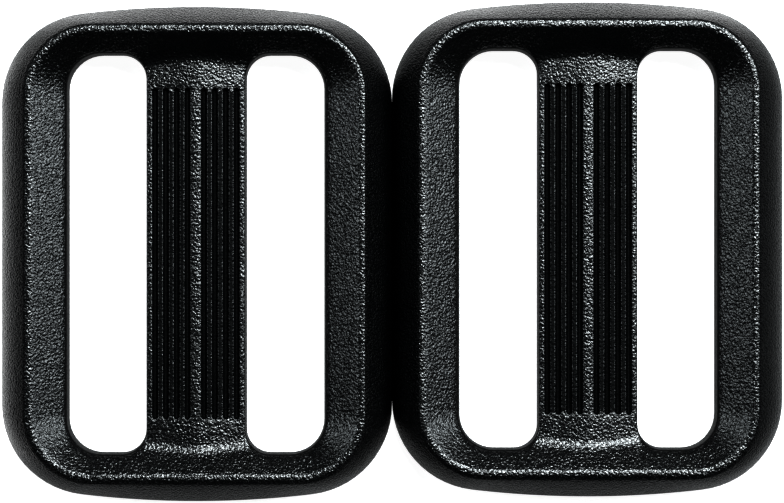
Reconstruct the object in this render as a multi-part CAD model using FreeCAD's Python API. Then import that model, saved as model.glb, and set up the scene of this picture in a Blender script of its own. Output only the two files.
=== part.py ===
import FreeCAD, Part
import math
import os

# Two identical tri-glide slides for flat webbing, lying side by side on their undersides.
# Each slide is one moulding: a rounded frame, two slots and a grooved centre bar.
# Millimetres. +X runs across the slots, +Y along them, +Z up. The origin is under the middle of the pair.

# Webbing and the slots that it passes through
webbing_width = 38.0
webbing_clearance = 1.0
slot_width = 7.6
slot_frame_corner = 3.3
slot_bar_corner = 2.3
slot_draft_deg = 3.0
slot_top_round = 0.5
slot_foot_round = 0.4

# Frame, seen from above
side_width = 6.65
end_width = 4.85
outer_corner = 8.9
end_bow_radius = 97.0

# Frame, in section: foot, parting line, shoulder and crest
foot_round = 0.7
foot_draft = 0.25
parting_height = 2.1
shoulder_drop = 1.75
shoulder_inset = 0.9
crest_height = 5.85
crest_side_inset = 2.85
crest_end_inset = 2.35
crest_round = 0.8
crest_land = 0.12
flank_top_deg = 45.0
dish_slope_deg = 35.0

# Centre bar, a low roof with its peak along the middle
bar_width = 9.9
bar_peak_drop = 1.6
bar_pitch_deg = 4.5
bar_junction_round = 0.7
bar_lift = 0.8
bar_lift_ramp = 1.2

# Grip grooves, as many as each half of the bar has room for
groove_width = 0.67
groove_pitch = 1.06
groove_depth = 0.5
groove_end_land = 3.25
groove_edge_land = 0.55
plain_strip_width = 0.95

# The pair as it lies
pair_gap = 0.06
pair_stagger = 0.46

# Construction: how far a tool passes what it cuts, how far the dish passes a slot, and the steps of a round
tool_margin = 1.0
dish_margin = 0.3
round_steps = 3
crest_straightness = 0.97
same_place = 1e-6

slot_length = webbing_width + webbing_clearance
slide_width = bar_width + 2 * (slot_width + side_width)
slide_length = slot_length + 2 * end_width
slot_middle = (bar_width + slot_width) / 2
bar_peak_height = crest_height - bar_peak_drop
groove_room = (bar_width - plain_strip_width) / 2 - groove_edge_land - groove_width
grooves_each_half = 1 + math.floor(groove_room / groove_pitch)
dish_slope = math.tan(math.radians(dish_slope_deg))
bar_pitch = math.tan(math.radians(bar_pitch_deg))
slot_draft = math.tan(math.radians(slot_draft_deg))


def point(x, y, z=0.0):
    return FreeCAD.Vector(x, y, z)


def arc(points):
    return Part.Arc(*points).toShape()


def on_circle(centre, radius, degrees):
    angle = math.radians(degrees)
    return centre + point(radius * math.cos(angle), radius * math.sin(angle))


def round_angles(last):
    """Evenly spaced angles from nothing to the last one, for the steps of a round."""
    return [last * step / round_steps for step in range(round_steps + 1)]


def frame_outline(level):
    """Rounded rectangle with bowed ends, for one (height, side inset, end inset, bow radius)."""
    height, side_inset, end_inset, bow_radius = level
    corner = outer_corner - (side_inset + end_inset) / 2
    half_x = slide_width / 2 - side_inset
    half_y = slide_length / 2 - end_inset
    corner_x = half_x - corner
    bow_y = half_y - bow_radius
    lean = math.degrees(math.asin(corner_x / (bow_radius - corner)))
    corner_y = bow_y + (bow_radius - corner) * math.cos(math.radians(lean))
    sweep = 90.0 - lean
    right_corner = point(corner_x, corner_y, height)
    left_corner = point(-corner_x, corner_y, height)
    bow_centre = point(0.0, bow_y, height)
    edges = []
    for turn in (0.0, 180.0):
        half = [
            Part.makeLine(point(half_x, -corner_y, height), point(half_x, corner_y, height)),
            arc([on_circle(right_corner, corner, at) for at in (0.0, sweep / 2, sweep)]),
            arc([on_circle(bow_centre, bow_radius, 90.0 + at) for at in (-lean, 0.0, lean)]),
            arc([on_circle(left_corner, corner, 180.0 - at) for at in (sweep, sweep / 2, 0.0)]),
        ]
        for edge in half:
            edge.rotate(point(0, 0), point(0, 0, 1), turn)
            edges.append(edge)
    return Part.Wire(edges)


def skin(levels, ruled):
    """Solid through the frame's outlines at the given levels."""
    return Part.makeLoft([frame_outline(level) for level in levels], True, ruled)


def bow_at(height):
    """The ends are bowed at the parting line and all but straight at the crest."""
    climb = (height - parting_height) / (crest_height - parting_height)
    return end_bow_radius / (1.0 - crest_straightness * climb)


def crest_level(degrees, outward):
    """Level on the crest's round, where the surface leans this much to the outside or to the inside."""
    angle = math.radians(degrees)
    reach = crest_round * math.sin(angle)
    shift = -reach if outward else crest_land + reach
    height = crest_height - crest_round * (1.0 - math.cos(angle))
    return height, crest_side_inset + shift, crest_end_inset + shift, bow_at(crest_height)


def foot_level(degrees):
    """Level on the round between the underside and the drafted foot."""
    angle = math.radians(degrees)
    inset = foot_draft + foot_round * (1.0 - math.sin(angle))
    return foot_round * (1.0 - math.cos(angle)), inset, inset, end_bow_radius


def outer_block():
    """The frame without its dish or slots: foot, flank and the outer half of the crest."""
    foot = skin([foot_level(degrees) for degrees in round_angles(90.0)], True)
    parting = (parting_height, 0.0, 0.0, end_bow_radius)
    skirt = skin([foot_level(90.0), parting], True)
    shoulder_height = crest_height - shoulder_drop
    shoulder = (shoulder_height, shoulder_inset, shoulder_inset, bow_at(shoulder_height))
    flank = skin([parting, shoulder, crest_level(flank_top_deg, True)], False)
    crest = skin([crest_level(degrees, True) for degrees in reversed(round_angles(flank_top_deg))], True)
    return foot.multiFuse([skirt, flank, crest]).removeSplitter()


def bar_roof():
    """Low gable that stands up in the dish, as wide as the bar and the corners beside it."""
    half_width = bar_width / 2 + slot_bar_corner + dish_margin
    eaves = bar_peak_height - half_width * bar_pitch
    half_length = slide_length / 2
    gable = [(-half_width, 0.0), (half_width, 0.0), (half_width, eaves)]
    gable += [(0.0, bar_peak_height), (-half_width, eaves)]
    profile = Part.makePolygon([point(x, -half_length, z) for x, z in gable + gable[:1]])
    return Part.Face(profile).extrude(point(0.0, 2 * half_length))


def dish():
    """What is taken out above the bar, from the crest down the frame's inner slopes."""
    rim = crest_level(0.0, False)
    above = (rim[0] + tool_margin,) + rim[1:]
    lip = [crest_level(degrees, False) for degrees in round_angles(dish_slope_deg)]
    height, side_inset, end_inset, bow_radius = lip[-1]
    run = side_width + dish_margin - side_inset
    floor = (height - run * dish_slope, side_inset + run, end_inset + run, bow_radius)
    hollow = skin([above] + lip + [floor], True).cut(bar_roof())
    return hollow.makeFillet(bar_junction_round, [edge for edge in hollow.Edges if is_bar_junction(edge)])


def is_bar_junction(edge):
    """Where one half of the roof meets the slope at an end of the frame."""
    ends = sorted(edge.Vertexes, key=lambda vertex: abs(vertex.X))
    if len(ends) < 2:
        return False
    starts_on_peak = abs(ends[0].X) < same_place and abs(ends[0].Z - bar_peak_height) < same_place
    return starts_on_peak and abs(ends[1].X) > bar_width / 2


def slot_outline(height, grow):
    """Slot at +X, with its bar-side and frame-side corners, widened by grow all round."""
    inner_x = bar_width / 2 - grow
    outer_x = bar_width / 2 + slot_width + grow
    end_y = slot_length / 2 + grow
    bar_corner = slot_bar_corner + grow
    frame_corner = slot_frame_corner + grow
    centres = [
        (outer_x - frame_corner, end_y - frame_corner, frame_corner),
        (inner_x + bar_corner, end_y - bar_corner, bar_corner),
        (inner_x + bar_corner, bar_corner - end_y, bar_corner),
        (outer_x - frame_corner, frame_corner - end_y, frame_corner),
    ]
    corners = []
    for quarter, (x, y, radius) in enumerate(centres):
        angles = [90.0 * quarter + at for at in (0.0, 45.0, 90.0)]
        corners.append(arc([on_circle(point(x, y, height), radius, at) for at in angles]))
    edges = []
    for corner, following in zip(corners, corners[1:] + corners[:1]):
        edges.append(corner)
        edges.append(Part.makeLine(corner.Vertexes[-1].Point, following.Vertexes[0].Point))
    return Part.Wire(edges)


def slot_tool():
    """Slot at +X, drafted both ways from the parting line, with a rounded foot."""
    top = crest_height + tool_margin
    levels = [(-tool_margin, slot_foot_round + slot_draft * parting_height)]
    for degrees in round_angles(90.0):
        angle = math.radians(degrees)
        height = slot_foot_round * (1.0 - math.cos(angle))
        flare = slot_foot_round * (1.0 - math.sin(angle))
        levels.append((height, flare + slot_draft * (parting_height - height)))
    levels.append((parting_height, 0.0))
    levels.append((top, slot_draft * (top - parting_height)))
    return Part.makeLoft([slot_outline(height, grow) for height, grow in levels], True, True)


def is_slot_rim(edge):
    """An upper edge of either slot."""
    middle = edge.valueAt((edge.FirstParameter + edge.LastParameter) / 2)
    reach = slot_draft * crest_height + dish_margin / 2
    in_width = abs(abs(middle.x) - slot_middle) < slot_width / 2 + reach
    in_length = abs(middle.y) < slot_length / 2 + reach
    lowest = min(vertex.Z for vertex in edge.Vertexes)
    return in_width and in_length and lowest > parting_height + slot_foot_round


def bar_underside():
    """The bar stands clear of the surface below, with a ramp at each end."""
    half_length = slot_length / 2 - slot_bar_corner
    flat = half_length - bar_lift_ramp
    outline = [(-half_length - tool_margin, -tool_margin), (half_length + tool_margin, -tool_margin)]
    outline += [(half_length, 0.0), (flat, bar_lift), (-flat, bar_lift), (-half_length, 0.0)]
    profile = Part.makePolygon([point(-slot_middle, y, z) for y, z in outline + outline[:1]])
    return Part.Face(profile).extrude(point(2 * slot_middle, 0.0))


def groove(x):
    """Grip groove with a round floor and round ends, at the same depth below the roof wherever it lies."""
    radius = groove_width / 2
    floor_centre = bar_peak_height - abs(x) * bar_pitch - groove_depth + radius
    half_run = slot_length / 2 - groove_end_land - radius
    rise = crest_height - floor_centre
    pieces = [Part.makeCylinder(radius, 2 * half_run, point(x, -half_run, floor_centre), point(0.0, 1.0))]
    pieces.append(Part.makeBox(2 * radius, 2 * half_run, rise, point(x - radius, -half_run, floor_centre)))
    for end in (-half_run, half_run):
        pieces.append(Part.makeSphere(radius, point(x, end, floor_centre)))
        pieces.append(Part.makeCylinder(radius, rise, point(x, end, floor_centre)))
    return pieces[0].multiFuse(pieces[1:]).removeSplitter()


def slide():
    """One whole slide, centred on the origin."""
    right_slot = slot_tool()
    left_slot = right_slot.mirror(point(0, 0), point(1, 0))
    body = outer_block().cut(dish())
    body = body.cut(bar_underside())
    body = body.cut(Part.makeCompound([right_slot, left_slot]))
    body = body.makeFillet(slot_top_round, [edge for edge in body.Edges if is_slot_rim(edge)])
    grooves = []
    for number in range(grooves_each_half):
        x = (plain_strip_width + groove_width) / 2 + number * groove_pitch
        grooves += [groove(x), groove(-x)]
    return body.cut(Part.makeCompound(grooves)).Solids[0]


def placed(shape, side):
    """A copy of the slide at the left (-1) or the right (1) of the pair."""
    copy = shape.copy()
    copy.translate(point(side * (slide_width + pair_gap) / 2, side * pair_stagger / 2))
    return copy


os.makedirs("parts", exist_ok=True)
one_slide = slide()
for name, side in (("slider_left", -1), ("slider_right", 1)):
    placed(one_slide, side).exportStep(f"parts/{name}.step")
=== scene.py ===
import bpy
import bmesh
import math
from mathutils import Matrix, Vector
from mathutils.geometry import delaunay_2d_cdt


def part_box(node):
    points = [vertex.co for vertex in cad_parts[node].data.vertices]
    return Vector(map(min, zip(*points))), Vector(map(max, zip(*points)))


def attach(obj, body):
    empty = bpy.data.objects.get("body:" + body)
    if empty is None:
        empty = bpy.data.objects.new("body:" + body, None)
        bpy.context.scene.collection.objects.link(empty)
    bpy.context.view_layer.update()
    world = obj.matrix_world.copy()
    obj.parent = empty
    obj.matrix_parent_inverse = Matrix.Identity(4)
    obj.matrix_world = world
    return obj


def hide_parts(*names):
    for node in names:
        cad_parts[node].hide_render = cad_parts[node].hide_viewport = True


# Two webbing slides lying side by side on a white table, seen from straight above

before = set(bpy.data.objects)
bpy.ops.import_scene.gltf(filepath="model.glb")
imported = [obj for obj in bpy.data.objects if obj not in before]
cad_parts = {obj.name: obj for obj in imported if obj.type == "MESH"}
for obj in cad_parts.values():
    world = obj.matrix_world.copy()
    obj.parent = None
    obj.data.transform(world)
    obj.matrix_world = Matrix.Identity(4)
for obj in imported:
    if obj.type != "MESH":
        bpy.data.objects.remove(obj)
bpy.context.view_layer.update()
print("loaded", sorted(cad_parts))

mm = 0.001


def node(tree, kind, place=(0, 0), **settings):
    made = tree.nodes.new(kind)
    made.location = place
    for name, value in settings.items():
        setattr(made, name, value)
    return made


tableLook = {
    "halfSize": 6.0,            # m
    "below": 0.02 * mm,         # a hair under the slides
    "glow": 0.97,               # keeps the table white inside the slots
    # painted light and painted shade: glowing and darker strips of table beside the slides, that only
    # their flanks mirror
    #  axis, where it begins, where it is full (m), how much it adds
    "paintedGlowPools": [
        ("Y", 0.022, 0.027, 5.4), ("Y", 0.045, 0.090, -5.4),
        ("Y", -0.026, -0.036, -0.5), ("Y", -0.07, -0.16, 0.5),
        ("X", 0.040, 0.055, -0.15), ("X", 0.08, 0.20, 0.15),
        ("X", -0.037, -0.040, 3.4), ("X", -0.043, -0.060, -3.4),
    ],
    "colour": (0.35, 0.35, 0.35),
    "roughness": 0.75,
    "specular": 0.2,
}


def glowWithPaintedPools(tree, look):
    where = node(tree, "ShaderNodeTexCoord", (-1000, 0))
    split = node(tree, "ShaderNodeSeparateXYZ", (-800, 0))
    tree.links.new(where.outputs["Object"], split.inputs[0])
    glow = None
    # each strip adds painted light to the table's even glow, and the negative ones take it away as
    # painted shade
    for row, (axis, start, end, added) in enumerate(look["paintedGlowPools"]):
        paintedPool = node(tree, "ShaderNodeMapRange", (-600, -200 * row), interpolation_type="SMOOTHSTEP")
        paintedPool.inputs["From Min"].default_value = start
        paintedPool.inputs["From Max"].default_value = end
        paintedPool.inputs["To Max"].default_value = added
        tree.links.new(split.outputs[axis], paintedPool.inputs["Value"])
        total = node(tree, "ShaderNodeMath", (-300, -200 * row), operation="ADD")
        total.inputs[1].default_value = look["glow"]
        tree.links.new(paintedPool.outputs[0], total.inputs[0])
        if glow:
            tree.links.new(glow, total.inputs[1])
        glow = total.outputs[0]
    return glow


def makeTable(look):
    half = look["halfSize"]
    mesh = bpy.data.meshes.new("table")
    corners = [(-half, -half, 0), (half, -half, 0), (half, half, 0), (-half, half, 0)]
    mesh.from_pydata(corners, [], [(0, 1, 2, 3)])
    table = bpy.data.objects.new("table", mesh)
    bpy.context.scene.collection.objects.link(table)
    table.location.z = -look["below"]
    white = bpy.data.materials.new("whiteTable")
    white.use_nodes = True
    shader = white.node_tree.nodes["Principled BSDF"]
    shader.inputs["Base Color"].default_value = (*look["colour"], 1)
    shader.inputs["Roughness"].default_value = look["roughness"]
    shader.inputs["Specular IOR Level"].default_value = look["specular"]
    shader.inputs["Emission Color"].default_value = (1, 1, 1, 1)
    # emission: the even glow plus the painted light and shade strips
    glow = glowWithPaintedPools(white.node_tree, look)
    white.node_tree.links.new(glow, shader.inputs["Emission Strength"])
    mesh.materials.append(white)


makeTable(tableLook)
print("table made")

tentLook = {
    "horizon": (0.90, 0.90, 0.90),
    "overhead": (0.002, 0.0022, 0.0024),
    "whiteBelow": 0.0315,       # sines of the elevations between which the white ends
    "darkAbove": 0.07,
}


def makeTent(look):
    world = bpy.data.worlds.new("tent")
    bpy.context.scene.world = world
    world.use_nodes = True
    tree = world.node_tree
    tree.nodes.clear()
    where = node(tree, "ShaderNodeTexCoord", (-800, 0))
    split = node(tree, "ShaderNodeSeparateXYZ", (-600, 0))
    ramp = node(tree, "ShaderNodeValToRGB", (-400, 0))
    back = node(tree, "ShaderNodeBackground", (-100, 0))
    out = node(tree, "ShaderNodeOutputWorld", (100, 0))
    low, high = ramp.color_ramp.elements
    low.position, low.color = look["whiteBelow"], (*look["horizon"], 1)
    high.position, high.color = look["darkAbove"], (*look["overhead"], 1)
    tree.links.new(where.outputs["Generated"], split.inputs[0])
    tree.links.new(split.outputs["Z"], ramp.inputs[0])
    tree.links.new(ramp.outputs[0], back.inputs["Color"])
    tree.links.new(back.outputs[0], out.inputs[0])


makeTent(tentLook)
print("tent made")

lampLook = {
    #            place (m)            size (m)      power  colour
    "keyRight": ((0.46, 0.14, 0.30), (0.20, 0.20), 3.4, (0.90, 0.97, 1.00)),
    "fillLeft": ((-0.46, 0.14, 0.30), (0.20, 0.20), 2.0, (0.90, 0.97, 1.00)),
    "topSoft": ((0.125, 0.255, 0.525), (0.30, 0.13), 11.0, (0.92, 0.98, 1.00)),
}


def makeLamp(name, place, size, power, colour):
    lamp = bpy.data.lights.new(name, "AREA")
    lamp.shape = "RECTANGLE"
    lamp.size, lamp.size_y = size
    lamp.energy = power
    lamp.color = colour
    holder = bpy.data.objects.new(name, lamp)
    bpy.context.scene.collection.objects.link(holder)
    holder.location = place
    holder.rotation_euler = (-Vector(place)).to_track_quat("-Z", "Y").to_euler()
    holder.visible_camera = False


for name, settings in lampLook.items():
    makeLamp(name, *settings)
print("lamps made")

cameraLook = {
    "widthSeen": 77.2 * mm,
    "focusHeight": 2.1 * mm,    # the slides are widest here
    "distance": 360 * mm,
    "sensor": 36.0,
    "clip": (0.01, 10.0),       # m
    "gamma": 0.65,              # a hard, contrasty print
}


def makeCamera(look):
    data = bpy.data.cameras.new("overhead")
    data.sensor_width = look["sensor"]
    data.lens = look["sensor"] * look["distance"] / look["widthSeen"]
    data.clip_start, data.clip_end = look["clip"]
    camera = bpy.data.objects.new("overhead", data)
    bpy.context.scene.collection.objects.link(camera)
    camera.location = (0, 0, look["focusHeight"] + look["distance"])
    bpy.context.scene.camera = camera
    bpy.context.scene.view_settings.view_transform = "Standard"
    bpy.context.scene.view_settings.gamma = look["gamma"]


makeCamera(cameraLook)
print("camera made")

# both slides are made from this: mm and degrees, steps are counts
slideLook = {
    "shape": {
        "webbing": 38.0, "webbingClearance": 1.0,
        "slotWidth": 7.6, "slotFrameCorner": 3.3, "slotBarCorner": 2.3,
        "slotDraft": 3.0, "slotFoot": 0.4,
        "slotRimFrame": 0.65, "slotRimBar": 0.18, "slotRimDepth": 0.30,
        "outerCorner": 8.9, "endBow": 97.0,
        "footRound": 0.7, "footDraft": 0.25, "partingHeight": 2.1,
        "shoulderDrop": 1.75, "shoulderInset": 0.9,
        "crestSideInset": 2.85, "crestEndInset": 2.35, "crestRound": 0.8, "crestLand": 0.12,
        "crestOuterLean": 45.0,
        "crestStraightness": 0.97,      # share of the ends' bow that is gone at the crest
        "dishSlope": 35.0, "junctionSoftness": 0.45,
        "barWidth": 9.9, "barPeakDrop": 1.6, "barPitch": 4.5, "ridgeSoftness": 0.25,
        "barRoofReach": 7.0,            # the bar's roof line drops away beyond this
        "barLift": 0.8, "barLiftRamp": 1.2,
        "touching": 0.0303,             # each slide closes this much of the gap between the two
    },
    "groove": {
        "perHalf": 4, "first": 0.81, "pitch": 1.06, "endLand": 3.25, "endRound": 0.335,
        #  from the middle of the groove, depth
        "section": [(0.400, 0.0), (0.360, 0.006), (0.325, 0.020), (0.300, 0.042), (0.285, 0.085),
                    (0.272, 0.180), (0.235, 0.280), (0.165, 0.380), (0.075, 0.470), (0.0, 0.505)],
    },
    "skin": {
        "grained": 0, "satin": 1, "dull": 2,            # where each finish stands on the mesh
        "satinPastFlank": 5, "satinAtFarEnd": 3,        # rows of the crest's outer side
        "farEndReach": 1.0,
        "grainedRimRows": 3,
        "dullDepth": 0.15, "landDepth": 0.006,
        "crestFadeFrom": 12, "crestFadeOver": 14, "crestFade": 0.75,    # share of the grain lost
        "grooveFadeDepth": 0.12, "grooveFade": 0.8,
    },
    "density": {
        "sideSteps": 40, "cornerSteps": 14, "bowSteps": 24,             # quarter of the frame
        "slotSideSteps": 26, "slotCornerSteps": 10, "slotEndSteps": 6, "slotBarSteps": 34,
        "roundSteps": 6, "flankSteps": 10,
        "lipWidth": 0.03,
        "openSpacing": 0.55, "openFromLip": 0.35, "openFromSlot": 0.3,
        "junctionSpacing": (0.35, 0.10), "junctionReach": 0.9, "junctionHalf": 7.35,
        "junctionFromSlot": 0.1, "junctionMargin": (0.15, 0.2),
        "grooveSteps": 64, "grooveEndSteps": 12, "groovedHalf": 4.6, "groovedMargin": 0.675,
        "centreHalf": 0.3, "centreSteps": 6,
        "rampHalf": 4.2, "rampSteps": 12,
        "barUnderside": (3.6, 15.5), "barUndersideSteps": (6, 31),
        "weldWithin": 0.0006, "sameLine": 1e-4, "samePoint": 1e-6,
    },
}


def tangent(degrees):
    return math.tan(math.radians(degrees))


def along(first, last, steps):
    return [first + (last - first) * step / steps for step in range(steps + 1)]


def clamped(share):
    return min(max(share, 0), 1)


def quadratic(share, first, middle, last):
    # through the middle value half way up
    bend = 2 * (first + last) - 4 * middle
    return first + share * (last - first - bend) + share * share * bend


def bezier(share, first, pull, last):
    return first * (1 - share) ** 2 + 2 * pull * share * (1 - share) + last * share ** 2


def arcPoints(centre, radius, firstAngle, lastAngle, steps):
    turns = [math.radians(angle) for angle in along(firstAngle, lastAngle, steps)]
    return [(centre[0] + radius * math.cos(turn), centre[1] + radius * math.sin(turn)) for turn in turns]


def inPlan(ring):
    return [(x, y) for x, y, z, grain in ring]


def within(loop, x, y):
    inside = False
    for (startX, startY), (endX, endY) in zip(loop, loop[1:] + loop[:1]):
        if (startY > y) != (endY > y) and x < startX + (endX - startX) * (y - startY) / (endY - startY):
            inside = not inside
    return inside


class Slide:
    # knows every height and outline of one slide, centred on its own middle
    def __init__(self, size, look):
        self.width, self.length, self.height = size
        self.shape, self.groove = shape, groove = look["shape"], look["groove"]
        self.skin, self.density = look["skin"], look["density"]
        self.slotLength = shape["webbing"] + shape["webbingClearance"]
        self.slotMiddle = (shape["barWidth"] + shape["slotWidth"]) / 2
        self.parting = shape["partingHeight"]
        self.barPeak = self.height - shape["barPeakDrop"]
        self.draftGrow = tangent(shape["slotDraft"]) * (self.barPeak - self.parting)
        lean = math.radians(shape["dishSlope"])
        reach = shape["crestLand"] + shape["crestRound"] * math.sin(lean)
        self.lipSide, self.lipEnd = shape["crestSideInset"] + reach, shape["crestEndInset"] + reach
        self.lipHeight = self.height - shape["crestRound"] * (1 - math.cos(lean))
        self.lipCorner = shape["outerCorner"] - (self.lipSide + self.lipEnd) / 2
        self.grooveEnd = self.slotLength / 2 - groove["endLand"] - groove["endRound"]
        self.grooves = [side * (groove["first"] + groove["pitch"] * number)
                        for side in (-1, 1) for number in range(groove["perHalf"])]

    def bowAt(self, z):
        climb = (z - self.parting) / (self.height - self.parting)
        return self.shape["endBow"] / (1 - self.shape["crestStraightness"] * max(climb, 0))

    def frameLoop(self, sideInset, endInset, bow):
        density = self.density
        corner = self.shape["outerCorner"] - (sideInset + endInset) / 2
        halfX, halfY = self.width / 2 - sideInset, self.length / 2 - endInset
        bowY = halfY - bow
        lean = math.asin((halfX - corner) / (bow - corner))
        cornerY = bowY + (bow - corner) * math.cos(lean)
        lean = math.degrees(lean)
        quarter = [(halfX, y) for y in along(0, cornerY, density["sideSteps"])]
        quarter += arcPoints((halfX - corner, cornerY), corner, 0, 90 - lean, density["cornerSteps"])[1:]
        quarter += arcPoints((0, bowY), bow, 90 - lean, 90, density["bowSteps"])[1:]
        loop = quarter + [(-x, y) for x, y in reversed(quarter[:-1])]
        loop += [(-x, -y) for x, y in quarter[1:]] + [(x, -y) for x, y in reversed(quarter[1:-1])]
        return loop

    def slotLoop(self, grow, side):
        shape, density = self.shape, self.density
        inner = shape["barWidth"] / 2 - grow
        outer = shape["barWidth"] / 2 + shape["slotWidth"] + grow
        end = self.slotLength / 2 + grow
        frameCorner, barCorner = shape["slotFrameCorner"] + grow, shape["slotBarCorner"] + grow
        steps = density["slotCornerSteps"]
        endXs = along(outer - frameCorner, inner + barCorner, density["slotEndSteps"])
        half = [(outer, y) for y in along(0, end - frameCorner, density["slotSideSteps"])]
        half += arcPoints((outer - frameCorner, end - frameCorner), frameCorner, 0, 90, steps)[1:]
        half += [(x, end) for x in endXs][1:]
        half += arcPoints((inner + barCorner, end - barCorner), barCorner, 90, 180, steps)[1:]
        half += [(inner, y) for y in along(end - barCorner, 0, density["slotBarSteps"])][1:]
        loop = half + [(x, -y) for x, y in reversed(half[1:-1])]
        return [(side * x, y) for x, y in loop]

    def rimLoop(self, grow, side):
        # where the slot's rim begins, broad beside the frame and narrow along the bar
        shape, density = self.shape, self.density
        broad = density["slotSideSteps"] + density["slotCornerSteps"] + density["slotEndSteps"]
        half = [1.0] * (broad + 1) + along(1, 0, density["slotCornerSteps"])[1:]
        half += [0.0] * density["slotBarSteps"]
        shares = half + half[-2:0:-1]
        rim = []
        for share, near, far in zip(shares, self.slotLoop(grow, side), self.slotLoop(grow + 1, side)):
            wide = shape["slotRimBar"] + (shape["slotRimFrame"] - shape["slotRimBar"]) * share
            rim.append((near[0] + (far[0] - near[0]) * wide, near[1] + (far[1] - near[1]) * wide))
        return rim

    def fromSlot(self, x, y):
        # how far a point lies outside the nearer slot, where the slots are narrowest
        x, y = abs(x) - self.slotMiddle, abs(y)
        corner = self.shape["slotFrameCorner"] if x > 0 else self.shape["slotBarCorner"]
        overX, overY = abs(x) - (self.shape["slotWidth"] / 2 - corner), y - (self.slotLength / 2 - corner)
        return math.hypot(max(overX, 0), max(overY, 0)) + min(max(overX, overY), 0) - corner

    def fromLip(self, x, y):
        # how far a point lies inside the crest
        overX = abs(x) - (self.width / 2 - self.lipSide - self.lipCorner)
        overY = abs(y) - (self.length / 2 - self.lipEnd - self.lipCorner)
        return self.lipCorner - math.hypot(max(overX, 0), max(overY, 0)) - min(max(overX, overY), 0)

    def dishHeight(self, x, y):
        shape = self.shape
        slope = self.lipHeight - self.fromLip(x, y) * tangent(shape["dishSlope"])
        soft, blend = shape["ridgeSoftness"], shape["junctionSoftness"]
        fall = (math.hypot(x, soft) - soft) * tangent(shape["barPitch"])
        roof = self.barPeak - fall - max(abs(x) - shape["barRoofReach"], 0)
        near = max(blend - abs(slope - roof), 0) / blend
        return max(slope, roof) + near * near * blend / 4

    def grooveDepth(self, x, y):
        section = self.groove["section"]
        run = max(abs(y) - self.grooveEnd, 0)
        away = min(math.hypot(x - middle, run) for middle in self.grooves)
        for (far, shallow), (near, deep) in zip(section, section[1:]):
            if near <= away <= far:
                return shallow + (deep - shallow) * (far - away) / (far - near)
        return 0.0

    def topHeight(self, x, y):
        if self.fromLip(x, y) < self.density["lipWidth"]:
            return self.lipHeight
        return self.dishHeight(x, y) - self.grooveDepth(x, y)

    def underHeight(self, x, y):
        if abs(x) > self.slotMiddle:
            return 0.0
        start = self.slotLength / 2 - self.shape["slotBarCorner"]
        return self.shape["barLift"] * clamped((start - abs(y)) / self.shape["barLiftRamp"])

    def skinFinish(self, row, y):
        # satin up to the crest, and almost to its very top except at the far end
        farEnd = y > self.length / 2 - self.shape["crestEndInset"] - self.skin["farEndReach"]
        satinRows = self.skin["satinAtFarEnd" if farEnd else "satinPastFlank"]
        last = self.density["roundSteps"] + self.density["flankSteps"] + satinRows
        return self.skin["satin" if row < last else "grained"]

    def rimFinish(self, row, y):
        return self.skin["grained" if row < self.skin["grainedRimRows"] else "dull"]

    def topFinish(self, x, y):
        # groove walls and the lands between them are dull, their edges grained
        onLand = self.groove["first"] < abs(x) < max(self.grooves) and abs(y) < self.grooveEnd
        depth = self.grooveDepth(x, y)
        dull = depth > self.skin["dullDepth"] or (onLand and depth < self.skin["landDepth"])
        return self.skin["dull" if dull else "grained"]

    def topGrain(self, x, y):
        skin = self.skin
        return 1 - skin["grooveFade"] * min(self.grooveDepth(x, y) / skin["grooveFadeDepth"], 1)

    def crestGrain(self, angle):
        skin = self.skin
        return 1 - skin["crestFade"] * clamped((angle - skin["crestFadeFrom"]) / skin["crestFadeOver"])

    def frameRings(self):
        # outer skin, from the underside to the lip inside the crest
        shape, density, rings = self.shape, self.density, []
        side, end, rounding = shape["crestSideInset"], shape["crestEndInset"], shape["crestRound"]
        for angle in along(0, 90, density["roundSteps"]):
            turn = math.radians(angle)
            inset = shape["footDraft"] + shape["footRound"] * (1 - math.sin(turn))
            rings.append((shape["footRound"] * (1 - math.cos(turn)), inset, inset, shape["endBow"], 0))
        shoulder = self.height - shape["shoulderDrop"]
        turn = math.radians(shape["crestOuterLean"])
        top = self.height - rounding * (1 - math.cos(turn))
        drop = rounding * math.sin(turn)
        for share in along(0, 1, density["flankSteps"]):
            z = quadratic(share, self.parting, shoulder, top)
            sideInset = quadratic(share, 0, shape["shoulderInset"], side - drop)
            endInset = quadratic(share, 0, shape["shoulderInset"], end - drop)
            rings.append((z, sideInset, endInset, self.bowAt(z), 0))
        crestBow = self.bowAt(self.height)
        for angle in along(shape["crestOuterLean"], 0, density["roundSteps"])[1:]:
            turn = math.radians(angle)
            z, reach = self.height - rounding * (1 - math.cos(turn)), rounding * math.sin(turn)
            rings.append((z, side - reach, end - reach, crestBow, self.crestGrain(angle)))
        for angle in along(0, shape["dishSlope"], density["roundSteps"]):
            turn = math.radians(angle)
            z = self.height - rounding * (1 - math.cos(turn))
            reach = shape["crestLand"] + rounding * math.sin(turn)
            rings.append((z, side + reach, end + reach, crestBow, 1))
        return [[(x, y, z, grain) for x, y in self.frameLoop(sideInset, endInset, bow)]
                for z, sideInset, endInset, bow, grain in rings]

    def slotRings(self, side):
        # from the rim on the top, down the wall to the underside
        shape, draft = self.shape, tangent(self.shape["slotDraft"])
        edge = [(x, y, self.dishHeight(x, y)) for x, y in self.slotLoop(self.draftGrow, side)]
        top = [(x, y, self.topHeight(x, y)) for x, y in self.rimLoop(self.draftGrow, side)]
        low = [(x, y, z - shape["slotRimDepth"]) for x, y, z in edge]
        rings = []
        for share in along(0, 1, self.density["roundSteps"]):
            rings.append([tuple(bezier(share, *values) for values in zip(*points)) + (1 - share,)
                          for points in zip(top, edge, low)])
        rings.append([(x, y, self.parting, 0) for x, y in self.slotLoop(0, side)])
        for angle in along(90, 0, self.density["roundSteps"]):
            turn = math.radians(angle)
            z = shape["slotFoot"] * (1 - math.cos(turn))
            flare = shape["slotFoot"] * (1 - math.sin(turn)) + draft * (self.parting - z)
            rings.append([(x, y, z + self.underHeight(x, y), 0) for x, y in self.slotLoop(flare, side)])
        return rings


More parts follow.
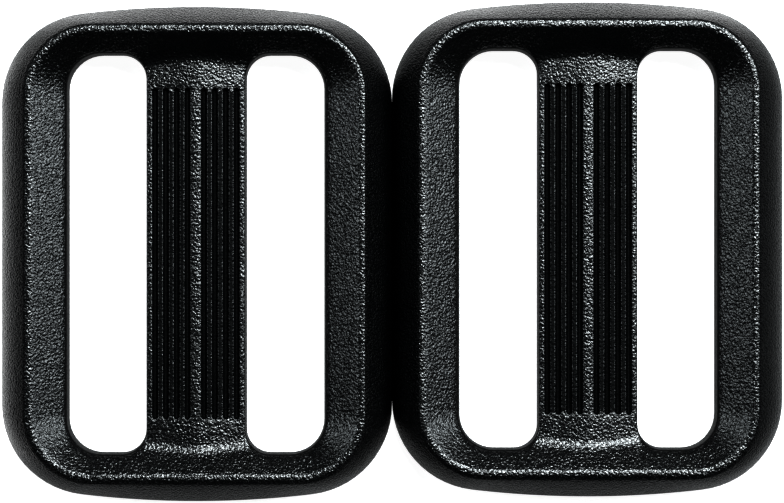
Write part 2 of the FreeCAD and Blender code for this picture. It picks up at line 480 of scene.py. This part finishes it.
class Net:
    # points and fixed lines in plan, to be filled with triangles
    def __init__(self):
        self.points, self.lines, self.known = [], [], {}

    def add(self, x, y):
        key = (round(x, 4), round(y, 4))
        if key not in self.known:
            self.known[key] = len(self.points)
            self.points.append(Vector((x, y)))
        return self.known[key]

    def line(self, points, closed=True):
        made = [self.add(x, y) for x, y in points]
        following = made[1:] + (made[:1] if closed else [])
        self.lines += [(here, there) for here, there in zip(made, following) if here != there]

    def fill(self, keep, tolerance):
        points, _, faces, *_ = delaunay_2d_cdt(self.points, self.lines, [], 0, tolerance)
        middles = [sum((points[number] for number in face), Vector((0, 0))) / 3 for face in faces]
        return points, [face for face, middle in zip(faces, middles) if keep(middle.x, middle.y)]


def grooveLines(net, slide):
    density, end = slide.density, slide.grooveEnd
    straight = along(-end, end, density["grooveSteps"])
    for middle in slide.grooves:
        for away, _ in slide.groove["section"]:
            if not away:
                net.line([(middle, y) for y in straight], closed=False)
                continue
            loop = [(middle + away, y) for y in straight]
            loop += arcPoints((middle, end), away, 0, 180, density["grooveEndSteps"])[1:-1]
            loop += [(middle - away, y) for y in reversed(straight)]
            loop += arcPoints((middle, -end), away, 180, 360, density["grooveEndSteps"])[1:-1]
            net.line(loop)
    for x in along(-density["centreHalf"], density["centreHalf"], density["centreSteps"]):
        for y in straight:
            net.add(x, y)


def topNet(slide, rims):
    shape, density, net = slide.shape, slide.density, Net()
    net.line(slide.frameLoop(slide.lipSide, slide.lipEnd, slide.bowAt(slide.height)))
    for rim in rims:
        net.line(rim)
    grooveLines(net, slide)
    clearOf = shape["slotRimFrame"] + slide.draftGrow

    # a fine band where the dish meets the bar
    dish, reach, half = tangent(shape["dishSlope"]), density["junctionReach"], density["junctionHalf"]
    foot = slide.length / 2 - slide.lipEnd - (slide.lipHeight - slide.barPeak) / dish
    fall = tangent(shape["barPitch"]) / dish
    stepX, stepY = density["junctionSpacing"]
    for side in (-1, 1):
        for offset in along(-reach, reach, round(2 * reach / stepY)):
            for x in along(-half, half, round(2 * half / stepX)):
                y = foot - fall * abs(x) + offset
                if slide.fromSlot(x, y) > clearOf + density["junctionFromSlot"]:
                    net.add(x, side * y)

    # a coarser triangular grid over the rest
    gap = density["openSpacing"]
    marginX, marginY = density["junctionMargin"]
    columns = math.ceil(slide.width / gap / 2)
    rowGap = gap * math.sqrt(3) / 2
    for row, y in enumerate(along(-slide.length / 2, slide.length / 2, round(slide.length / rowGap))):
        for column in range(-columns, columns + 1):
            x = (column + 0.5 * (row % 2)) * gap
            nearJunction = (abs(x) < half + marginX
                            and abs(abs(y) - foot + fall * abs(x)) < reach + marginY)
            nearGrooves = (abs(x) < density["groovedHalf"]
                           and abs(y) < slide.grooveEnd + density["groovedMargin"])
            clear = (slide.fromLip(x, y) > density["openFromLip"]
                     and slide.fromSlot(x, y) > clearOf + density["openFromSlot"])
            if clear and not nearJunction and not nearGrooves:
                net.add(x, y)
    return net


def underNet(slide, foot, slotFeet):
    shape, density, net = slide.shape, slide.density, Net()
    for loop in [foot] + slotFeet:
        net.line(loop)
    start = slide.slotLength / 2 - shape["slotBarCorner"]
    for y in (start, start - shape["barLiftRamp"]):
        for side in (-1, 1):
            for x in along(-density["rampHalf"], density["rampHalf"], density["rampSteps"]):
                net.add(x, side * y)
    (halfX, halfY), (stepsX, stepsY) = density["barUnderside"], density["barUndersideSteps"]
    for y in along(-halfY, halfY, stepsY):
        for x in along(-halfX, halfX, stepsX):
            net.add(x, y)
    return net


def layRings(mesh, rings, grainOf, finishOf):
    rows = []
    for ring in rings:
        row = []
        for x, y, z, grain in ring:
            made = mesh.verts.new((x, y, z))
            made[grainOf] = grain
            row.append(made)
        rows.append(row)
    for row, (lower, upper) in enumerate(zip(rows, rows[1:])):
        for here in range(len(lower)):
            there = (here + 1) % len(lower)
            face = mesh.faces.new((lower[here], lower[there], upper[there], upper[here]))
            face.material_index = finishOf(row, lower[here].co.y)


def layNet(mesh, filled, heightOf, grainAt, grainOf, finishAt):
    points, faces = filled
    verts = {}
    for number in {number for face in faces for number in face}:
        x, y = points[number]
        verts[number] = mesh.verts.new((x, y, heightOf(x, y)))
        verts[number][grainOf] = grainAt(x, y)
    for face in faces:
        middle = sum((points[number] for number in face), Vector((0, 0))) / len(face)
        made = mesh.faces.new([verts[number] for number in face])
        made.material_index = finishAt(middle.x, middle.y)


def makeSlideMesh(size, look):
    slide = Slide(size, look)
    shape, density = slide.shape, slide.density
    mesh = bmesh.new()
    grainOf = mesh.verts.layers.float.new("grain")
    outside = slide.frameRings()
    layRings(mesh, outside, grainOf, slide.skinFinish)
    slots = [slide.slotRings(side) for side in (-1, 1)]
    for rings in slots:
        layRings(mesh, rings, grainOf, slide.rimFinish)

    rims = [inPlan(rings[0]) for rings in slots]
    top = topNet(slide, rims).fill(lambda x, y: not within(rims[x > 0], x, y), density["samePoint"])
    layNet(mesh, top, slide.topHeight, slide.topGrain, grainOf, slide.topFinish)

    footGrow = shape["slotFoot"] + tangent(shape["slotDraft"]) * slide.parting
    under = underNet(slide, inPlan(outside[0]), [inPlan(rings[-1]) for rings in slots])
    outsideSlots = footGrow - density["sameLine"]
    under = under.fill(lambda x, y: slide.fromSlot(x, y) > outsideSlots, density["samePoint"])
    layNet(mesh, under, slide.underHeight, lambda x, y: 0, grainOf, lambda x, y: slide.skin["satin"])

    bmesh.ops.remove_doubles(mesh, verts=mesh.verts, dist=density["weldWithin"])
    bmesh.ops.recalc_face_normals(mesh, faces=mesh.faces)
    return mesh


acetalLook = {
    "colour": (0.0012, 0.0014, 0.0015, 1),
    "ior": 1.48,
    "wrinkleScale": 4300.0, "wrinkleDetail": 1.0, "wrinkleBreakup": 0.4, "wrinkleTwist": 0.35,
    "wrinkleHeight": 0.086 * mm,
    "pitScale": 5200.0, "pitDetail": 1.0,
    #               specular  roughness     height of the fine pits
    "finishes": {
        "grained": (0.5, (0.23, 0.30), 0.02 * mm),
        "satin": (0.05, (0.26, 0.38), 0.24 * mm),
        "dull": (0.06, (0.50, 0.60), 0.04 * mm),
    },
}


def bumped(tree, place, height, distance):
    bump = node(tree, "ShaderNodeBump", place)
    bump.inputs["Distance"].default_value = distance
    bump.inputs["Strength"].default_value = 1.0
    tree.links.new(height, bump.inputs["Height"])
    return bump


def blackAcetal(look, finish):
    specular, (smooth, rough), pitHeight = look["finishes"][finish]
    material = bpy.data.materials.new("blackAcetal_" + finish)
    material.use_nodes = True
    tree = material.node_tree
    shader = tree.nodes["Principled BSDF"]
    shader.inputs["IOR"].default_value = look["ior"]
    shader.inputs["Base Color"].default_value = look["colour"]
    shader.inputs["Specular IOR Level"].default_value = specular
    where = node(tree, "ShaderNodeTexCoord", (-1400, 0))

    # moulded wrinkles, only as high as the mesh's own grain value allows
    wrinkle = node(tree, "ShaderNodeTexNoise", (-1000, 0))
    wrinkle.inputs["Scale"].default_value = look["wrinkleScale"]
    wrinkle.inputs["Detail"].default_value = look["wrinkleDetail"]
    wrinkle.inputs["Roughness"].default_value = look["wrinkleBreakup"]
    wrinkle.inputs["Distortion"].default_value = look["wrinkleTwist"]
    tree.links.new(where.outputs["Object"], wrinkle.inputs["Vector"])
    centred = node(tree, "ShaderNodeMath", (-800, 0), operation="SUBTRACT")
    centred.inputs[1].default_value = 0.5
    tree.links.new(wrinkle.outputs["Fac"], centred.inputs[0])
    grained = node(tree, "ShaderNodeAttribute", (-1400, -400), attribute_name="grain")
    deep = node(tree, "ShaderNodeMath", (-600, 0), operation="MULTIPLY")
    tree.links.new(centred.outputs[0], deep.inputs[0])
    tree.links.new(grained.outputs["Fac"], deep.inputs[1])

    # fine pits under them
    pit = node(tree, "ShaderNodeTexNoise", (-600, -400))
    pit.inputs["Scale"].default_value = look["pitScale"]
    pit.inputs["Detail"].default_value = look["pitDetail"]
    tree.links.new(where.outputs["Object"], pit.inputs["Vector"])
    fine = bumped(tree, (-400, -400), pit.outputs["Fac"], pitHeight)
    coarse = bumped(tree, (-200, -200), deep.outputs[0], look["wrinkleHeight"])
    tree.links.new(fine.outputs[0], coarse.inputs["Normal"])
    tree.links.new(coarse.outputs[0], shader.inputs["Normal"])
    gloss = node(tree, "ShaderNodeMapRange", (-400, 200))
    gloss.inputs["To Min"].default_value = smooth
    gloss.inputs["To Max"].default_value = rough
    tree.links.new(pit.outputs["Fac"], gloss.inputs["Value"])
    tree.links.new(gloss.outputs[0], shader.inputs["Roughness"])
    return material


acetals = [blackAcetal(acetalLook, finish) for finish in acetalLook["finishes"]]
print("acetal mixed,", len(acetals), "finishes")


def placeSlide(name, cadNode, body, outward):
    low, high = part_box(cadNode)
    size = [side / mm for side in high - low]
    slideMesh = makeSlideMesh(size, slideLook)
    stretch = 1 + slideLook["shape"]["touching"] / size[0]
    outer = outward * size[0] / 2
    for vert in slideMesh.verts:
        vert.co.x = outer + (vert.co.x - outer) * stretch
    middle = ((low.x + high.x) / 2, (low.y + high.y) / 2, low.z)
    slideMesh.transform(Matrix.Translation(middle) @ Matrix.Scale(mm, 4))
    made = bpy.data.meshes.new(name)
    slideMesh.to_mesh(made)
    slideMesh.free()
    made.shade_smooth()
    for acetal in acetals:
        made.materials.append(acetal)
    piece = bpy.data.objects.new(name, made)
    bpy.context.scene.collection.objects.link(piece)
    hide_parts(cadNode)
    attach(piece, body)
    print(name, len(made.polygons), "faces")


placeSlide("leftSlide", "slider_left", "left_slide", -1)
placeSlide("rightSlide", "slider_right", "right_slide", 1)
